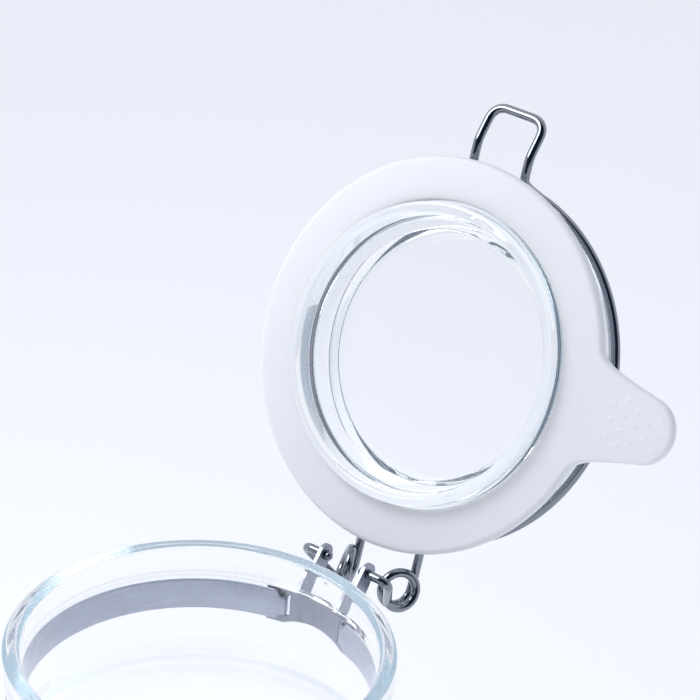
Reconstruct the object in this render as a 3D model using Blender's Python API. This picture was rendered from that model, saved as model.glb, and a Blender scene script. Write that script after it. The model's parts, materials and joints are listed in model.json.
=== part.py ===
"""Clip-top glass jar with its lid open: bail wire, seal, neck bands and a draw latch at the front.

Lengths are in millimetres and become metres as each shape is made. +Z is up, +Y is the hinge side, and
the origin is the centre of the base. Heights named ..._Z are measured from the rim's top face.
"""
import math

import bmesh
import bpy
from mathutils import Matrix, Vector

MM = 0.001
ROUND_STEPS = 48

# Jar
RIM_HEIGHT = 158.0
RIM_RADIUS = 48.0
MOUTH_RADIUS = 43.8
NECK_RADIUS = 46.0
NECK_BORE = 42.8
BODY_RADIUS = 55.0
WALL = 3.6
FLOOR = 5.0
BEAD_DEPTH = 9.6
SHOULDER_TOP_Z = -25.0
SHOULDER_DEPTH = 22.0
HEEL = 9.0

# Lid, in its closed position
LID_OPEN = math.radians(115.9)
HINGE_Y = 57.2
HINGE_Z = -4.3
SEAT_GAP = 0.3
SEAL_RADIUS = 50.9
SEAL_BORE = 39.5
SEAL_THICK = 3.2
SEAL_EDGE = 0.7
TAB_TIP_CENTRE = 65.0
TAB_TIP_RADIUS = 8.6
TAB_ROOT_HALF = 14.0
TAB_TURN = math.radians(-2.9)
FLANGE_RADIUS = 47.4
PLUG_RADIUS = 38.8
PLUG_CREST_RADIUS = 36.6
PLUG_Z = -3.7
DISC_RADIUS = 32.3
DISC_Z = 3.3
LID_TOP_Z = 18.2
PANEL_Z = 14.2
PANEL_RADIUS = 31.0

# Wires
WIRE = 1.2
RING_RADIUS = 47.6
RING_Z = 13.6
TONGUE_HALF = 8.0
TONGUE_ROOT, TONGUE_ROOT_Z = 49.2, 6.3
TONGUE_BEND, TONGUE_BEND_Z = 55.6, 5.2
TONGUE_TIP, TONGUE_TIP_Z = 65.2, 7.8
COIL_CENTRE = Vector((8.5, 60.8, 10.9))
COIL_RADIUS = 4.65
COIL_LEAN = math.radians(30)
COIL_PITCH = 2.75
PIN_OUT, PIN_IN = 13.9, 5.2
PIN_BEND = 1.7
RING_BEND = 2.6

# Neck band and its brackets
BAND_TOP_Z, BAND_BOTTOM_Z = -11.0, -19.5
BAND_THICK = 0.8
FIT_GAP = 0.3
BAND_RADIUS = NECK_RADIUS + FIT_GAP + 0.05 + BAND_THICK / 2
PLATE_THICK = 0.9
PLATE_RADIUS = BAND_RADIUS + BAND_THICK / 2 + FIT_GAP + PLATE_THICK / 2
HOOK_HALF_HEIGHT = 2.6
HOOK_RETURN = 3.6
HOOK_OVERLAP = 1.2
SLOT_WIDTH = 2.2
EAR_THICK = 1.0
EAR_RADIUS = 2.9
RUNNING_GAP = 0.25
REAR_SLOT, REAR_HALF, REAR_EAR = 9.5, 15.0, 6.4
FRONT_SLOT, FRONT_HALF, FRONT_EAR = 21.0, 25.6, 15.4

# Latch
LEVER_Y, LEVER_Z = 58.5, -13.0
DRAW_Y, DRAW_Z = 57.3, -23.0
PIN_RADIUS = 1.2
LEVER_HALF = 18.6
GRIP_HALF = 20.0
GRIP_Y, GRIP_Z = 63.0, -59.0
LOOP_WIRE = 1.2
LOOP_HALF = 11.7
NECK_MID_Z = (BAND_TOP_Z + BAND_BOTTOM_Z) / 2


def clear_scene():
    for obj in list(bpy.data.objects):
        bpy.data.objects.remove(obj, do_unlink=True)


def make_material(name, color, roughness, metallic=0.0, transmission=0.0):
    mat = bpy.data.materials.new(name)
    mat.use_nodes = True
    shader = mat.node_tree.nodes["Principled BSDF"]
    shader.inputs["Base Color"].default_value = (*color, 1.0)
    shader.inputs["Roughness"].default_value = roughness
    shader.inputs["Metallic"].default_value = metallic
    shader.inputs["Transmission Weight"].default_value = transmission
    return mat


def link(name, data, mat, parent):
    obj = bpy.data.objects.new(name, data)
    bpy.context.scene.collection.objects.link(obj)
    data.materials.append(mat)
    obj.parent = parent
    return obj


def mesh_object(name, verts, faces, mat, parent=None):
    bm = bmesh.new()
    made = [bm.verts.new(Vector(v) * MM) for v in verts]
    for face in faces:
        bm.faces.new([made[i] for i in face])
    bmesh.ops.recalc_face_normals(bm, faces=bm.faces)
    mesh = bpy.data.meshes.new(name)
    bm.to_mesh(mesh)
    bm.free()
    mesh.shade_smooth()
    mesh.set_sharp_from_angle(angle=math.radians(35))
    return link(name, mesh, mat, parent)


def anchor(name, y, z, turn=0.0):
    """An empty on a joint's axis, which carries what turns about it."""
    empty = bpy.data.objects.new(name, None)
    bpy.context.scene.collection.objects.link(empty)
    empty.location = (0, y * MM, (RIM_HEIGHT + z) * MM)
    empty.rotation_euler = (turn, 0, 0)
    return empty


def arc(centre, radius, start, end, count):
    """Points on an arc in a plane, angles in degrees."""
    angles = [math.radians(start + (end - start) * i / (count - 1)) for i in range(count)]
    return [(centre[0] + radius * math.cos(a), centre[1] + radius * math.sin(a)) for a in angles]


def turned(name, profile, mat, parent=None, shift=(0, 0)):
    """A body of revolution from (radius, height) points, closed where it meets the axis."""
    ring_form = profile[0][0] > 0
    verts, rings = [], []
    for radius, height in profile:
        if radius == 0:
            rings.append([len(verts)])
            verts.append((0, shift[0], height + shift[1]))
            continue
        rings.append(list(range(len(verts), len(verts) + ROUND_STEPS)))
        for i in range(ROUND_STEPS):
            a = 2 * math.pi * i / ROUND_STEPS
            verts.append((radius * math.cos(a), radius * math.sin(a) + shift[0], height + shift[1]))
    faces = []
    pairs = list(zip(rings, rings[1:])) + ([(rings[-1], rings[0])] if ring_form else [])
    for low, high in pairs:
        for i in range(ROUND_STEPS):
            j = (i + 1) % ROUND_STEPS
            corners = [low[i % len(low)], low[j % len(low)], high[j % len(high)], high[i % len(high)]]
            faces.append(list(dict.fromkeys(corners)))
    return mesh_object(name, verts, faces, mat, parent)


def prism(name, outline, low, high, axes, mat, parent=None):
    """An outline in one plane carried from low to high along the third axis; axes orders the coordinates."""
    def place(a, b, c):
        point = [0, 0, 0]
        for axis, value in zip(axes, (a, b, c)):
            point[axis] = value
        return point

    count = len(outline)
    verts = [place(a, b, level) for level in (low, high) for a, b in outline]
    faces = [list(range(count)), list(range(count, 2 * count))]
    faces += [[i, (i + 1) % count, count + (i + 1) % count, count + i] for i in range(count)]
    return mesh_object(name, verts, faces, mat, parent)


def combine(obj, other, operation):
    """Joins a helper to a piece or cuts it away, and removes the helper."""
    modifier = obj.modifiers.new(operation.lower(), "BOOLEAN")
    modifier.operation = operation
    modifier.object = other
    graph = bpy.context.evaluated_depsgraph_get()
    mesh = bpy.data.meshes.new_from_object(obj.evaluated_get(graph))
    obj.modifiers.clear()
    obj.data = mesh
    bpy.data.objects.remove(other, do_unlink=True)


def rounded(corners):
    """A path through (x, y, z, bend radius) corners, each bend an arc of five points."""
    path = [Vector(corners[0][:3])]
    for before, here, after in zip(corners, corners[1:], corners[2:]):
        point, radius = Vector(here[:3]), here[3]
        back = (Vector(before[:3]) - point).normalized()
        ahead = (Vector(after[:3]) - point).normalized()
        half = back.angle(ahead) / 2
        if radius == 0 or math.pi - 2 * half < 1e-3:
            path.append(point)
            continue
        middle = (back + ahead).normalized()
        centre = point + middle * radius / math.sin(half)
        start = point + back * radius / math.tan(half) - centre
        turn = start.rotation_difference(point + ahead * radius / math.tan(half) - centre)
        for step in range(5):
            part = turn.copy()
            part.angle = turn.angle * step / 4
            path.append(centre + part @ start)
    path.append(Vector(corners[-1][:3]))
    return path


def mirrored(path):
    """The whole of a wire whose right half is given from its middle outwards or its end inwards."""
    return path + [Vector((-p.x, p.y, p.z)) for p in reversed(path)]


def wire_object(name, path, radius, mat, parent, shift):
    curve = bpy.data.curves.new(name, "CURVE")
    curve.dimensions = "3D"
    curve.bevel_depth = radius * MM
    curve.bevel_resolution = 2
    curve.use_fill_caps = True
    spline = curve.splines.new("POLY")
    spline.points.add(len(path) - 1)
    for point, place in zip(spline.points, path):
        point.co = (*((place - shift) * MM), 1.0)
    return link(name, curve, mat, parent)


def jar_profile():
    rim = RIM_HEIGHT
    outer = [(0, 0)] + arc((BODY_RADIUS - HEEL, HEEL), HEEL, -90, 0, 5)
    shoulder_top = rim + SHOULDER_TOP_Z
    width = BODY_RADIUS - NECK_RADIUS
    for i in range(9):
        part = i / 8
        ease = (1 + math.cos(math.pi * part)) / 2
        outer.append((NECK_RADIUS + width * ease, shoulder_top - SHOULDER_DEPTH * (1 - part)))
    bead_low = rim - BEAD_DEPTH
    outer += [(NECK_RADIUS, bead_low), (RIM_RADIUS - 0.6, bead_low + 1.2), (RIM_RADIUS, bead_low + 2.6)]
    edge = (RIM_RADIUS - MOUTH_RADIUS) / 2
    outer += arc((RIM_RADIUS - edge, rim - edge), edge, 0, 180, 7)
    bore = BODY_RADIUS - WALL
    inner = [(NECK_BORE, bead_low), (NECK_BORE, shoulder_top)]
    for i in range(1, 8):
        part = i / 7
        ease = (1 - math.cos(math.pi * part)) / 2
        inner.append((NECK_BORE + (bore - NECK_BORE) * ease, shoulder_top - SHOULDER_DEPTH * part))
    heel = HEEL - 2
    inner += arc((bore - heel, FLOOR + heel), heel, 0, -90, 5) + [(0, FLOOR)]
    return outer + inner


def build_jar():
    clear_glass = make_material("jar_glass", (0.93, 0.97, 0.98), 0.03, transmission=1.0)
    turned("jar_body", jar_profile(), clear_glass)


def lid_profile():
    """Half section of the pressed lid: plug ring and raised disc below, flange, wire groove, dished top."""
    seat = SEAT_GAP * 2 + SEAL_THICK
    groove = RING_RADIUS - WIRE - 0.35
    crest = PLUG_CREST_RADIUS
    under = [(0, DISC_Z), (DISC_RADIUS, DISC_Z), (DISC_RADIUS + 2.2, DISC_Z - 1.6)]
    under += [(crest - 0.9, PLUG_Z + 1.2), (crest, PLUG_Z + 0.1), (PLUG_RADIUS - 0.9, PLUG_Z)]
    under += [(PLUG_RADIUS, PLUG_Z + 1.2), (PLUG_RADIUS, seat)]
    under += [(FLANGE_RADIUS - 0.8, seat), (FLANGE_RADIUS, seat + 0.9)]
    side = [(FLANGE_RADIUS, RING_Z - 5.0), (groove + 0.9, RING_Z - 2.6), (groove + 0.4, RING_Z - 1.5)]
    side += [(groove, RING_Z), (groove + 0.5, RING_Z + 1.6)]
    side += arc((groove - 1.7, LID_TOP_Z - 2.2), 2.2, 0, 90, 4)
    top = [(PANEL_RADIUS + 6.0, LID_TOP_Z - 0.1), (PANEL_RADIUS + 3.0, LID_TOP_Z - 1.6)]
    top += [(PANEL_RADIUS, PANEL_Z), (0, PANEL_Z + 0.6)]
    return under + side + top


def build_lid_glass(parent):
    thick_glass = make_material("lid_glass_clear", (0.92, 0.96, 0.98), 0.03, transmission=1.0)
    turned("lid_glass", lid_profile(), thick_glass, parent, (-HINGE_Y, -HINGE_Z))


def seal_outline():
    """The seal's outer edge: round, with a pull tab at +X that narrows in hollow curves to a round tip."""
    radius = SEAL_RADIUS - SEAL_EDGE
    tip = TAB_TIP_RADIUS - SEAL_EDGE
    root = math.degrees(math.asin((TAB_ROOT_HALF - SEAL_EDGE) / radius))
    body = arc((0, 0), radius, root, 360 - root, 61)
    low = Vector(body[-1])
    tip_start = Vector((TAB_TIP_CENTRE - 2.0, -tip))
    control = Vector((low.x + 4.0, -tip - 1.6))
    side = []
    for t in (0.25, 0.5, 0.75, 1.0):
        side.append(low * (1 - t) ** 2 + control * 2 * t * (1 - t) + tip_start * t * t)
    lower = [(p.x, p.y) for p in side]
    nose = arc((TAB_TIP_CENTRE, 0), tip, -90, 90, 11)
    upper = [(x, -y) for x, y in reversed(lower)]
    turn = Matrix.Rotation(TAB_TURN, 2)
    return [turn @ Vector(p) for p in body + lower + nose + upper]


def build_seal(parent):
    silicone = make_material("seal_silicone", (0.86, 0.87, 0.88), 0.45)
    curve = bpy.data.curves.new("gasket", "CURVE")
    curve.dimensions = "2D"
    curve.fill_mode = "BOTH"
    curve.extrude = (SEAL_THICK / 2 - SEAL_EDGE) * MM
    curve.bevel_depth = SEAL_EDGE * MM
    curve.bevel_resolution = 1
    bore = [Vector(p) for p in arc((0, 0), SEAL_BORE + SEAL_EDGE, 0, 352.5, 48)]
    for outline in (seal_outline(), bore):
        spline = curve.splines.new("POLY")
        spline.points.add(len(outline) - 1)
        spline.use_cyclic_u = True
        for point, place in zip(spline.points, outline):
            point.co = (place.x * MM, place.y * MM, 0, 1.0)
    seal = link("gasket", curve, silicone, parent)
    seal.location = (0, -HINGE_Y * MM, (SEAT_GAP + SEAL_THICK / 2 - HINGE_Z) * MM)


def lid_wire_half():
    """Right half of the lid's wire, from its pin in the ear to the middle of the tongue's tip."""
    lean_axis = Vector((math.cos(COIL_LEAN), 0, -math.sin(COIL_LEAN)))
    back, rise = Vector((0, 1, 0)), Vector((math.sin(COIL_LEAN), 0, math.cos(COIL_LEAN)))
    corner = Vector((PIN_OUT, HINGE_Y, HINGE_Z))
    seen = corner - COIL_CENTRE
    flat = Vector((seen.dot(back), seen.dot(rise)))
    leave = math.atan2(flat.y, flat.x) + math.acos(COIL_RADIUS / flat.length)
    enter = math.pi / 2
    sweep = enter - leave + 2 * math.pi
    steps = 17
    coil = []
    for i in range(steps):
        angle = leave + sweep * i / (steps - 1)
        along = COIL_PITCH * sweep / (2 * math.pi) * (0.5 - i / (steps - 1))
        side = back * math.cos(angle) + rise * math.sin(angle)
        coil.append((*(COIL_CENTRE + lean_axis * along + side * COIL_RADIUS), 0))
    leg_x = coil[-1][0]
    start = math.degrees(math.asin(leg_x / RING_RADIUS))
    end = 180 - math.degrees(math.asin(TONGUE_HALF / RING_RADIUS))
    ring = [(y, x, RING_Z, 0) for x, y in arc((0, 0), RING_RADIUS, start, end, 25)]
    ring[0] = (*ring[0][:3], RING_BEND)
    ring[-1] = (*ring[-1][:3], RING_BEND)
    tongue = [
        (TONGUE_HALF, -TONGUE_ROOT, TONGUE_ROOT_Z, 2.4),
        (TONGUE_HALF, -TONGUE_BEND, TONGUE_BEND_Z, 5.0),
        (TONGUE_HALF, -TONGUE_TIP, TONGUE_TIP_Z, 3.6),
        (0, -TONGUE_TIP, TONGUE_TIP_Z, 0),
    ]
    pin = [(PIN_IN, HINGE_Y, HINGE_Z, 0), (*corner, PIN_BEND)]
    return rounded(pin + coil + ring + tongue)[:-1]


def build_lid_wire(parent):
    bright_wire = make_material("lid_wire_steel", (0.62, 0.63, 0.65), 0.18, metallic=1.0)
    shift = Vector((0, HINGE_Y, HINGE_Z))
    wire_object("lid_wire", mirrored(lid_wire_half()), WIRE, bright_wire, parent, shift)


def plan_strip(path, thickness):
    """A closed outline of even thickness about a flat path."""
    points = [Vector(p) for p in path]
    left, right = [], []
    for i, point in enumerate(points):
        before = (point - points[i - 1]).normalized() if i else (points[1] - point).normalized()
        after = (points[i + 1] - point).normalized() if i + 1 < len(points) else before
        along = (before + after).normalized()
        side = Vector((-along.y, along.x)) * thickness / 2 / max(0.5, along.dot(before))
        left.append(point + side)
        right.append(point - side)
    return [(p.x, p.y) for p in left + right[::-1]]


def polar(radius, degrees):
    """A plan point at an angle from the hinge side, turning towards +X."""
    a = math.radians(degrees)
    return (radius * math.sin(a), radius * math.cos(a))


def angle_at(half_width, radius):
    return math.degrees(math.asin(half_width / radius))


def build_band(name, side, steel):
    """One half of the neck band. Each end narrows, passes out through a bracket's slot and folds back."""
    rear = angle_at(REAR_SLOT, BAND_RADIUS)
    front = 180 - angle_at(FRONT_SLOT, BAND_RADIUS)
    count = 25
    path = [polar(BAND_RADIUS, side * (rear + (front - rear) * i / (count - 1))) for i in range(count)]
    top, low = RIM_HEIGHT + BAND_TOP_Z, RIM_HEIGHT + BAND_BOTTOM_Z
    band = prism(name, plan_strip(path, BAND_THICK), low, top, (0, 1, 2), steel)
    hook_low = RIM_HEIGHT + NECK_MID_Z - HOOK_HALF_HEIGHT
    outside = PLATE_RADIUS + PLATE_THICK / 2 + FIT_GAP + BAND_THICK / 2
    for slot, inward in ((rear, 1), (front, -1)):
        fold = math.degrees(HOOK_RETURN / outside) * inward
        over = math.degrees(HOOK_OVERLAP / BAND_RADIUS) * inward
        hook = [polar(BAND_RADIUS, side * (slot + over)), polar(BAND_RADIUS, side * slot)]
        hook += [polar(outside, side * slot)]
        hook += [polar(outside, side * (slot + fold * part)) for part in (0.5, 1.0)]
        outline = plan_strip(hook, BAND_THICK)
        helper = prism("hook", outline, hook_low, hook_low + 2 * HOOK_HALF_HEIGHT, (0, 1, 2), steel)
        combine(band, helper, "UNION")
    return band


def cylinder_cutter(radius, low, high, y, z, mat):
    outline = arc((y, RIM_HEIGHT + z), radius, 0, 345, 24)
    return prism("bore_cutter", outline, low, high, (1, 2, 0), mat)


def build_bracket(name, facing, half, slot, ear_x, eye_y, eye_z, ear_foot, steel):
    """A stamped plate outside the band, slotted for its hooks, with two ears bored for a wire's pins."""
    reach = angle_at(half, PLATE_RADIUS)
    turn = 0 if facing > 0 else 180
    path = [polar(PLATE_RADIUS, turn - reach + 2 * reach * i / 16) for i in range(17)]
    top, low = RIM_HEIGHT + BAND_TOP_Z + 0.6, RIM_HEIGHT + BAND_BOTTOM_Z - 1.0
    plate = prism(name, plan_strip(path, PLATE_THICK), low, top, (0, 1, 2), steel)
    arch_centre = low - half * 1.35
    arch = arc((0, arch_centre), half * 1.35 + 2.4, 20, 160, 13)
    near, far = sorted((facing * (PLATE_RADIUS - half), facing * (PLATE_RADIUS + 6)))
    combine(plate, prism("arch_cutter", arch, near, far, (0, 2, 1), steel), "DIFFERENCE")
    middle = RIM_HEIGHT + NECK_MID_Z
    for side in (-1, 1):
        centre = Vector(polar(PLATE_RADIUS, turn + facing * side * angle_at(slot, PLATE_RADIUS)))
        along = Vector((centre.y, -centre.x)).normalized() * SLOT_WIDTH / 2
        out = centre.normalized() * 3
        box = [centre - along - out, centre + along - out, centre + along + out, centre - along + out]
        tall = HOOK_HALF_HEIGHT + 0.4
        corners = [(p.x, p.y) for p in box]
        cutter = prism("slot_cutter", corners, middle - tall, middle + tall, (0, 1, 2), steel)
        combine(plate, cutter, "DIFFERENCE")
        foot = math.sqrt(PLATE_RADIUS**2 - ear_x**2)
        round_from, round_to = (-60, 120) if facing > 0 else (240, 60)
        eye = arc((facing * eye_y, RIM_HEIGHT + eye_z), EAR_RADIUS, round_from, round_to, 11)
        outline = [(facing * (foot + dy), RIM_HEIGHT + z) for dy, z in ear_foot] + eye
        inner, outer = sorted((side * ear_x, side * (ear_x + EAR_THICK)))
        combine(plate, prism("ear", outline, inner, outer, (1, 2, 0), steel), "UNION")
        bore = cylinder_cutter(WIRE + RUNNING_GAP, inner - 1, outer + 1, facing * eye_y, eye_z, steel)
        combine(plate, bore, "DIFFERENCE")
    return plate


def build_neck_fittings():
    satin = make_material("band_steel", (0.45, 0.46, 0.48), 0.38, metallic=1.0)
    pale = make_material("bracket_steel", (0.62, 0.63, 0.65), 0.3, metallic=1.0)
    build_band("neck_band_right", 1, satin)
    build_band("neck_band_left", -1, satin)
    rear_foot = [(1.6, -9.6), (0.0, -10.8), (0.0, -19.2), (3.0, -19.2)]
    build_bracket("hinge_bracket", 1, REAR_HALF, REAR_SLOT, REAR_EAR, HINGE_Y, HINGE_Z, rear_foot, pale)
    front_foot = [(1.2, -10.8), (0.0, -10.8), (0.0, -19.2), (2.4, -19.2)]
    build_bracket("latch_bracket", -1, FRONT_HALF, FRONT_SLOT, FRONT_EAR, LEVER_Y, LEVER_Z, front_foot, pale)


def eye_turn(centre_y, centre_z, radius, first_x, last_x, start):
    """One turn of wire about a pin that lies along X, as path corners; start is in degrees."""
    corners = []
    steps = 12
    for i in range(steps + 1):
        angle = math.radians(start + 360 * i / steps)
        x = first_x + (last_x - first_x) * i / steps
        corners.append((x, centre_y + radius * math.cos(angle), centre_z + radius * math.sin(angle), 0))
    return corners


def build_lever(parent):
    """The latch's handle: ends turned in through the ears, an eye in each leg, and a rounded grip."""
    bright = make_material("lever_steel", (0.6, 0.61, 0.63), 0.2, metallic=1.0)
    eye = PIN_RADIUS + RUNNING_GAP + WIRE
    turn = eye_turn(-DRAW_Y, DRAW_Z, eye, LEVER_HALF, LEVER_HALF + 2 * WIRE + 0.5, 180)
    path = [
        (FRONT_EAR - 1.6, -LEVER_Y, LEVER_Z, 0),
        (LEVER_HALF, -LEVER_Y, LEVER_Z, 1.9),
        *turn,
        (GRIP_HALF, -GRIP_Y + 0.6, GRIP_Z + 10, 8),
        (GRIP_HALF, -GRIP_Y, GRIP_Z, 7),
        (0, -GRIP_Y, GRIP_Z, 0),
    ]
    shift = Vector((0, -LEVER_Y, LEVER_Z))
    wire_object("latch_lever", mirrored(rounded(path)[:-1]), WIRE, bright, parent, shift)


def build_latch_pin(parent):
    """The headed pin through the lever's eyes, which the draw loop turns on."""
    bright = make_material("pin_steel", (0.6, 0.61, 0.63), 0.22, metallic=1.0)
    end = LEVER_HALF + 3 * WIRE + 1.2
    head = PIN_RADIUS + 0.9
    profile = [(0, -end), (head * 0.7, -end), (head, -end + 0.4)]
    profile += [(head, -end + 1.0), (PIN_RADIUS, -end + 1.0)]
    profile += [(radius, -height) for radius, height in reversed(profile)]
    steps = 16
    verts, faces = [], []
    for radius, x in profile[1:-1]:
        for i in range(steps):
            a = 2 * math.pi * i / steps
            verts.append((x, radius * math.cos(a), radius * math.sin(a)))
    rings = len(profile) - 2
    for ring in range(rings - 1):
        for i in range(steps):
            j = (i + 1) % steps
            faces.append([ring * steps + i, ring * steps + j, (ring + 1) * steps + j, (ring + 1) * steps + i])
    faces += [list(range(steps)), list(range((rings - 1) * steps, rings * steps))]
    mesh_object("latch_pin", verts, faces, bright, parent)


def draw_length():
    """From the pin to the loop's cross bar, which drops into the bend of the closed lid's tongue."""
    bend = Vector((-TONGUE_BEND, TONGUE_BEND_Z))
    back = (Vector((-TONGUE_ROOT, TONGUE_ROOT_Z)) - bend).normalized()
    ahead = (Vector((-TONGUE_TIP, TONGUE_TIP_Z)) - bend).normalized()
    half = back.angle(ahead) / 2
    seat = bend + (back + ahead).normalized() * (WIRE + LOOP_WIRE + 0.35) / math.sin(half)
    return (seat - Vector((-DRAW_Y, DRAW_Z))).length


def build_loop(parent):
    """The stirrup that is drawn over the tongue: an eye round the pin at each end, and a cross bar."""
    bright = make_material("loop_steel", (0.6, 0.61, 0.63), 0.2, metallic=1.0)
    eye = PIN_RADIUS + RUNNING_GAP + LOOP_WIRE
    low = DRAW_Z - draw_length()
    turn = eye_turn(-DRAW_Y, DRAW_Z, eye, LOOP_HALF + 2 * LOOP_WIRE + 0.5, LOOP_HALF, 180)
    path = [*turn, (LOOP_HALF, -DRAW_Y, low, 3.2), (0, -DRAW_Y, low, 0)]
    shift = Vector((0, -DRAW_Y, DRAW_Z))
    wire_object("latch_loop", mirrored(rounded(path)[:-1]), LOOP_WIRE, bright, parent, shift)


def build_lid():
    hinge = anchor("lid_hinge", HINGE_Y, HINGE_Z, -LID_OPEN)
    build_lid_glass(hinge)
    build_seal(hinge)
    build_lid_wire(hinge)


def build_latch():
    build_lever(anchor("lever_pivot", -LEVER_Y, LEVER_Z))
    draw = anchor("draw_pivot", -DRAW_Y, DRAW_Z)
    build_latch_pin(draw)
    build_loop(draw)


def main():
    clear_scene()
    build_jar()
    build_neck_fittings()
    build_lid()
    build_latch()


main()
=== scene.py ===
import json
import math

import bmesh
import bpy
import numpy as np
from mathutils import Matrix, Vector


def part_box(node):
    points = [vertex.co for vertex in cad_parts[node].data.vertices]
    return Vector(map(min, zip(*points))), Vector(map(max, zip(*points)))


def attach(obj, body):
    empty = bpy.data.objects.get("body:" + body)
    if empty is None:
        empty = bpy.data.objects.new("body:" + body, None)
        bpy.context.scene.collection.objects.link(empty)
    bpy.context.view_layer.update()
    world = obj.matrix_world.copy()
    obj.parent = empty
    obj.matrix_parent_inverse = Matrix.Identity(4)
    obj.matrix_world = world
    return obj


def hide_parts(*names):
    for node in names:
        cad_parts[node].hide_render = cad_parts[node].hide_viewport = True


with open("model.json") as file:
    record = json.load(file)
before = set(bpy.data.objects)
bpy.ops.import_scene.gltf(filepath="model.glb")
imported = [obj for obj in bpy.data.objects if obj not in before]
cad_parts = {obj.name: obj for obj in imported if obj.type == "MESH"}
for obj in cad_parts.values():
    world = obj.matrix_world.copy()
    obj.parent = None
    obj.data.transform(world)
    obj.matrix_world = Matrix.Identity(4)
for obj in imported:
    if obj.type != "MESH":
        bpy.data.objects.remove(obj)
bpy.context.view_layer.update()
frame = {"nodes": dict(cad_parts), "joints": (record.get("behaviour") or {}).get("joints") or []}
print("frame loaded:", len(frame["nodes"]), "nodes")

mm = 0.001
joints = {joint["name"]: joint for joint in frame["joints"]}
hinge = Vector(joints["lid_hinge"]["pos_m"])
leverPivot = Vector(joints["lever_pivot"]["pos_m"])
drawPivot = Vector(joints["loop_swing"]["pos_m"])
lidTurn = math.radians(joints["lid_hinge"]["range_deg"][0])
openLid = Matrix.Translation(hinge) @ Matrix.Rotation(lidTurn, 4, "X") @ Matrix.Translation(-hinge)

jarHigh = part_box("jar_body")[1]
bandLow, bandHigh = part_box("neck_band_right")
rimTop = jarHigh.z
bodyRadius = jarHigh.x
wireSides = 20  # round every bent wire


# lengths come in metres and angles in radians

def flatArc(centre, radius, start, end, steps):
    angles = np.linspace(start, end, steps + 1)
    return [(centre[0] + radius * math.cos(a), centre[1] + radius * math.sin(a)) for a in angles]


# round each corner of an open path by its own radius, the last number of each corner
def softened(corners, step=math.radians(9)):
    size = len(corners[0]) - 1
    path = [np.array(corners[0][:size], float)]
    for before, here, after in zip(corners, corners[1:], corners[2:]):
        point, radius = np.array(here[:size], float), here[size]
        back = np.array(before[:size], float) - point
        ahead = np.array(after[:size], float) - point
        reach = min(np.linalg.norm(back), np.linalg.norm(ahead)) * 0.48
        back, ahead = back / np.linalg.norm(back), ahead / np.linalg.norm(ahead)
        half = math.acos(max(-1.0, min(1.0, float(back @ ahead)))) / 2
        if radius <= 0 or math.pi - 2 * half < 0.01:
            path.append(point)
            continue
        radius = min(radius, reach * math.tan(half))
        centre = point + (back + ahead) / np.linalg.norm(back + ahead) * radius / math.sin(half)
        first = point + back * radius / math.tan(half) - centre
        last = point + ahead * radius / math.tan(half) - centre
        turn = math.pi - 2 * half
        count = max(2, int(turn / step) + 1)
        for i in range(count + 1):
            a = turn * i / count
            path.append(centre + (first * math.sin(turn - a) + last * math.sin(a)) / math.sin(turn))
    path.append(np.array(corners[-1][:size], float))
    return path


def evenly(path, spacing):
    points = np.array(path, float)
    lengths = np.concatenate([[0], np.cumsum(np.linalg.norm(np.diff(points, axis=0), axis=1))])
    count = max(2, int(round(lengths[-1] / spacing)))
    at = np.linspace(0, lengths[-1], count + 1)
    return np.stack([np.interp(at, lengths, points[:, i]) for i in range(points.shape[1])], axis=1)


def eased(points, passes):
    points = points.copy()
    for i in range(passes):
        points[1:-1] = points[1:-1] * 0.5 + (points[:-2] + points[2:]) * 0.25
    return points


def pieceFrom(name, verts, faces, place=None):
    mesh = bpy.data.meshes.new(name)
    mesh.from_pydata([tuple(v) for v in verts], [], faces)
    work = bmesh.new()
    work.from_mesh(mesh)
    bmesh.ops.remove_doubles(work, verts=work.verts, dist=1e-7)
    bmesh.ops.recalc_face_normals(work, faces=work.faces)
    work.to_mesh(mesh)
    work.free()
    if place is not None:
        mesh.transform(place)
    mesh.shade_smooth()
    piece = bpy.data.objects.new(name, mesh)
    bpy.context.scene.collection.objects.link(piece)
    return piece


def turnedPiece(name, profile, count, place=None):
    angles = [math.tau * i / count for i in range(count)]
    verts, rings = [], []
    for radius, height in profile:
        if radius < 1e-7:  # on the axis: one point
            rings.append([len(verts)])
            verts.append((0, 0, height))
            continue
        rings.append(list(range(len(verts), len(verts) + count)))
        verts += [(radius * math.cos(a), radius * math.sin(a), height) for a in angles]
    faces = []
    for low, high in zip(rings, rings[1:]):
        for i in range(count):
            j = (i + 1) % count
            corners = [low[i % len(low)], low[j % len(low)]]
            corners += [high[j % len(high)], high[i % len(high)]]
            faces.append(list(dict.fromkeys(corners)))
    return pieceFrom(name, verts, faces, place)


def joinedRings(low, high):
    count = len(low)
    return [[low[i], low[(i + 1) % count], high[(i + 1) % count], high[i]] for i in range(count)]


domeLifts = (28, 55, 80)  # degrees up the rounded end of a wire
domeDepth = 0.6


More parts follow.
